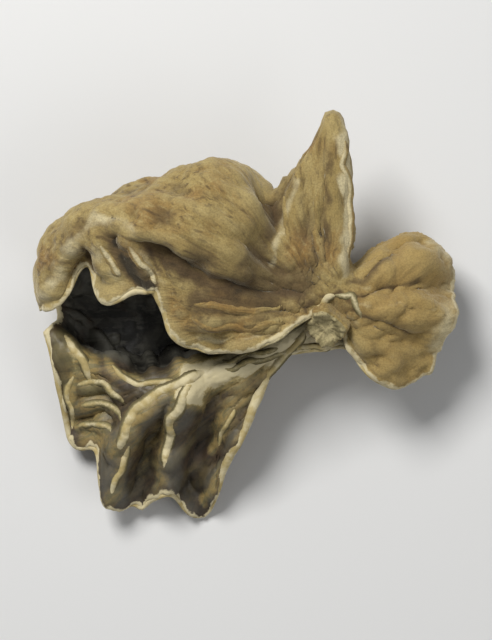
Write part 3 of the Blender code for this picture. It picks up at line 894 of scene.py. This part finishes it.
def fold_material():
    """A fold's pale crest, partly bleached and partly painted highlight on its upward side, with
    painted shade down its sides and where it goes into the sheet.
    """
    n = Nodes("pale fold")
    grain = n.noise(0.45 * MM, detail=4.0, roughness=0.65)
    patch = n.noise(2.4 * MM, detail=4.0)
    crest_light_and_shade = n.plus(n.attribute("crest_light_and_shade"), n.fit(grain, 0.3, 0.7, -0.14, 0.14))
    tone = n.mix(n.fit(patch, 0.4, 0.62), STRAW, CREAM)
    # Painted shade down the fold's sides and where it goes into the sheet.
    tone = n.mix(n.fit(crest_light_and_shade, 0.65, 0.05), tone, MOSS)
    tone = n.mix(n.fit(crest_light_and_shade, 0.1, -0.4, 0.0, 0.5), tone, UMBER)
    n.set(n.shader.inputs["Base Color"], tone)
    n.shader.inputs["Roughness"].default_value = 0.7
    n.shader.inputs["Specular IOR Level"].default_value = 0.35
    n.set(n.shader.inputs["Normal"], n.bump(grain, 0.08 * MM, 0.7))
    return n.material


FOOT_SIDES = 96
FOOT_RINGS = 30
CUT_RINGS = 14
CUT_ROUND = 0.45 * MM
CUT_SUNK = 0.5 * MM
CUT_GROOVE = 0.9 * MM
CUT_BUMP = 0.16 * MM
FOOT_GROOVE = 0.36  # of the radius
FOOT_GROOVE_RUN = 40  # how far the grooves' noise runs in a metre up the foot
FOOT_BUMP = 0.08 * MM
FOOT_BUMP_SIZE = 0.8 * MM
FOOT_FINISH = {
    "height": 0.1, "rib": 0.0, "edge": 5.0, "pale_felt": 0.0, "stain": 0.0, "reach": 6.0
}


def foot_rings():
    """Rings up the foot and in over its cut: (height, radius, how far out, how much cut)."""
    length = (FOOT_CUT - FOOT_ROOT).length
    rings = []
    for k in range(FOOT_RINGS + 1):
        along = k / FOOT_RINGS
        narrowed = (FOOT_CUT_RADIUS - FOOT_ROOT_RADIUS) * smoothstep(0, 0.7, along)
        turned = smoothstep(0.9, 1.0, along)
        radius = FOOT_ROOT_RADIUS + narrowed - CUT_ROUND * turned**2
        rings.append((along * length, radius, 1.0, turned))
    for k in range(1, CUT_RINGS):
        share = 1 - k / CUT_RINGS
        sunk = CUT_SUNK * smoothstep(1.0, 0.4, share)
        rings.append((length - sunk, (FOOT_CUT_RADIUS - CUT_ROUND) * share, share, 1.0))
    return rings


def add_foot(felt):
    """The foot: a short grooved column out of the gathered sheet, with a torn and sunken cut."""
    turn = (FOOT_CUT - FOOT_ROOT).to_track_quat("Z", "X").to_matrix()
    shape = bmesh.new()
    grid = []
    for height, radius, share, cut in foot_rings():
        ring = []
        for i in range(FOOT_SIDES):
            angle = math.tau * i / FOOT_SIDES
            spoke = Vector((math.cos(angle), math.sin(angle), 0))
            run = FOOT_GROOVE_RUN * height
            # Broad grooves and narrow ones between them.
            groove = 0.8 * noise.noise(1.3 * spoke + Vector((5, 0, run)))
            groove += 0.5 * abs(noise.noise(3.1 * spoke + Vector((9, 0, run)))) - 0.15
            place = spoke * radius + Vector((0, 0, height))
            bumps = noise.fractal(place / FOOT_BUMP_SIZE, 0.9, 2.0, 3)
            grooved = radius * (1 + FOOT_GROOVE * groove * share)
            local = spoke * (grooved + FOOT_BUMP * bumps * share)
            local.z = height + cut * (CUT_BUMP * bumps + CUT_GROOVE * groove * share)
            ring.append(shape.verts.new(FOOT_ROOT + turn @ local - RESTS_AT))
        grid.append(ring)
    for k in range(len(grid) - 1):
        for i in range(FOOT_SIDES):
            j = (i + 1) % FOOT_SIDES
            face = shape.faces.new((grid[k][i], grid[k][j], grid[k + 1][j], grid[k + 1][i]))
            face.material_index = 1 if k >= FOOT_RINGS - 1 else 0
    shape.faces.new(grid[-1]).material_index = 1
    shape.faces.new(reversed(grid[0]))
    mesh = bpy.data.meshes.new("foot")
    shape.to_mesh(mesh)
    shape.free()
    mesh.shade_smooth()
    mesh.materials.append(felt)
    mesh.materials.append(cut_material())
    count = len(mesh.vertices)
    store(mesh, **{name: [value] * count for name, value in FOOT_FINISH.items()})
    return add_object("foot", mesh)


def sheet_tree(flesh):
    points = [vertex.co for vertex in flesh.data.vertices]
    return BVHTree.FromPolygons(points, [face.vertices for face in flesh.data.polygons])


def draped(points, tree):
    """A line drawn from above, laid on the sheet, and cut where it would leap off the sheet."""
    line = [Vector((x, y, 0)) * MM for x, y in points]
    count = FOLD_STEPS * (len(line) - 1)
    runs = [[]]
    for k in range(count + 1):
        x, y = wandering(catmull_rom(line, k / FOLD_STEPS))
        over = Vector((x * MM, y * MM, ABOVE)) - RESTS_AT
        hit = tree.ray_cast(over, Vector((0, 0, -1)))[0]
        if hit is None:
            continue
        if runs[-1] and abs(hit.z - runs[-1][-1].z) > LEAP:
            runs.append([])
        runs[-1].append(hit)
    return [run for run in runs if len(run) >= SHORTEST_RUN]


def even(line, rounds):
    """The line with its kinks smoothed out and its ends kept."""
    for _ in range(rounds):
        middle = [(a + 2 * b + c) / 4 for a, b, c in zip(line, line[1:], line[2:])]
        line = [line[0], *middle, line[-1]]
    return line


def add_tube(shape, line, radius, crest_light_and_shade, pale, hem=False):
    """A round fold along the line, thinner towards its ends, pale on its upward crest as painted
    highlight and with painted shade below it.
    """
    rings = []
    last = len(line) - 1
    for k, point in enumerate(line):
        run = (line[min(k + 1, last)] - line[max(k - 1, 0)]).normalized()
        side = run.cross(Vector((0, 0, 1)))
        side = side.normalized() if side.length > 0.05 else Vector((0, 1, 0))
        up = side.cross(run)
        ends = smoothstep(0, FOLD_TAPER, k / last) * smoothstep(1, 1 - FOLD_TAPER, k / last)
        swell = 1 + FOLD_SWELL * noise.noise(point / FOLD_SWELL_SIZE)
        size = radius * (FOLD_TIP + (1 - FOLD_TIP) * ends) * swell
        if not hem:
            point = point - (SUNK * size + (1 - ends) * radius) * up
        ring = []
        for i in range(FOLD_SIDES):
            angle = math.tau * i / FOLD_SIDES
            rise = math.sin(angle)
            flank = 1.0 if hem else 1 + FLANK * (1 - max(rise, 0)) ** 2
            spoke = math.cos(angle) * flank * side + rise * up
            bump = 1 + FOLD_BUMP * noise.noise((point + size * spoke) / FOLD_BUMP_SIZE)
            vertex = shape.verts.new(point + size * bump * spoke)
            # A hem is pale all round, and a standing fold on its upward side as painted
            # highlight, with painted shade under it, both fading to its ends.
            shown = 1.0 if hem else (1.9 * rise - 0.8) * (0.2 + 0.8 * ends)
            vertex[crest_light_and_shade] = shown * (pale if shown > 0 else 1.0)
            ring.append(vertex)
        rings.append(ring)
    for low, high in zip(rings, rings[1:]):
        for i in range(FOLD_SIDES):
            j = (i + 1) % FOLD_SIDES
            shape.faces.new((low[i], low[j], high[j], high[i]))
    shape.faces.new(reversed(rings[0]))
    shape.faces.new(rings[-1])


def fold_object(name, shape, material):
    """The folds as one object, kept off the floor, with the numbers that its material reads."""
    mesh = bpy.data.meshes.new(name)
    shape.to_mesh(mesh)
    shape.free()
    for vertex in mesh.vertices:
        vertex.co.z = max(vertex.co.z, 0)
    mesh.shade_smooth()
    mesh.materials.append(material)
    foot = FOOT_MIDDLE - RESTS_AT
    store(mesh, reach=[(vertex.co - foot).length / MM for vertex in mesh.vertices])
    return add_object(name, mesh)


def add_folds(flesh, margins):
    """The folds that stand on the sheet, pale or felted, and the hems of its margins."""
    tree = sheet_tree(flesh)
    shapes = [bmesh.new() for _ in range(2)]
    crests = [shape.verts.layers.float.new("crest_light_and_shade") for shape in shapes]
    for shape, crest_light_and_shade, folds in zip(shapes, crests, (STANDING_FOLDS, FELT_FOLDS)):
        for radius, pale, points in folds:
            for run in draped(points, tree):
                add_tube(shape, even(run, FOLD_SMOOTHING), radius * MM, crest_light_and_shade, pale)
    places = steps(COLUMNS)
    for number, start, end, radius, pale in HEMS:
        margin = zip(places, margins[number])
        line = [point - RESTS_AT for s, point in margin if start <= s <= end]
        line = even(line, FOLD_SMOOTHING)
        add_tube(shapes[0], line, radius * MM, crests[0], pale, hem=True)
    bleached = fold_object("pale_folds", shapes[0], fold_material())
    felted = fold_object("felt_folds", shapes[1], flesh.data.materials[0])
    values = stored(felted.data, "crest_light_and_shade")
    # Felted folds: paler on their upward crests as painted highlight, and darker where they go
    # into the sheet as painted shade.
    store(
        felted.data,
        height=[0.2] * len(values),
        rib=[0.0] * len(values),
        edge=[5.0] * len(values),
        pale_felt=[max(value, 0.0) for value in values],
        stain=[0.5 * smoothstep(0.0, -0.6, value) for value in values],
    )
    return bleached, felted


FLOOR_REACH = 1.2
FLOOR_HEIGHT = -0.2 * MM  # just under the belly
CAMERA_HEIGHT = 0.45
LENS = 172.0
# Lights: (name, place from the middle of the ear, size, power).
LIGHTS = (
    ("key", (-0.14, 0.22, 0.33), 0.16, 2.0),
    ("fill", (0.3, -0.2, 0.3), 0.35, 0.6),
)
WORLD_STRENGTH = 0.18


def add_stage():
    mesh = bpy.data.meshes.new("floor")
    square = ((-1, -1), (1, -1), (1, 1), (-1, 1))
    corners = [(x * FLOOR_REACH, y * FLOOR_REACH, FLOOR_HEIGHT) for x, y in square]
    mesh.from_pydata(corners, [], [(0, 1, 2, 3)])
    floor = add_object("floor", mesh)
    n = Nodes("pale floor")
    n.shader.inputs["Base Color"].default_value = FLOOR
    n.shader.inputs["Roughness"].default_value = 0.85
    mesh.materials.append(n.material)


def add_light(name, place, target, size, power):
    data = bpy.data.lights.new(name, "AREA")
    data.size = size
    data.energy = power
    light = bpy.data.objects.new(name, data)
    bpy.context.scene.collection.objects.link(light)
    light.location = place
    light.rotation_euler = (target - place).to_track_quat("-Z", "Y").to_euler()


def add_camera_and_light():
    low, high = (Vector(corner) for corner in cad_box)
    centre = (low + high) / 2
    data = bpy.data.cameras.new("camera")
    data.lens = LENS
    data.clip_start = 0.01
    camera = bpy.data.objects.new("camera", data)
    bpy.context.scene.collection.objects.link(camera)
    camera.location = (centre.x, centre.y, CAMERA_HEIGHT)
    bpy.context.scene.camera = camera
    for name, place, size, power in LIGHTS:
        add_light(name, centre + Vector(place), centre, size, power)
    world = bpy.data.worlds.new("studio")
    bpy.context.scene.world = world
    world.use_nodes = True
    background = world.node_tree.nodes["Background"]
    background.inputs["Color"].default_value = DAYLIGHT
    background.inputs["Strength"].default_value = WORLD_STRENGTH
    bpy.context.scene.view_settings.view_transform = "Standard"


flesh, margins = add_flesh()
foot = add_foot(flesh.data.materials[0])
for piece in (flesh, foot, *add_folds(flesh, margins)):
    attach(piece, "root")
    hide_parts("wood_ear")
add_stage()
add_camera_and_light()
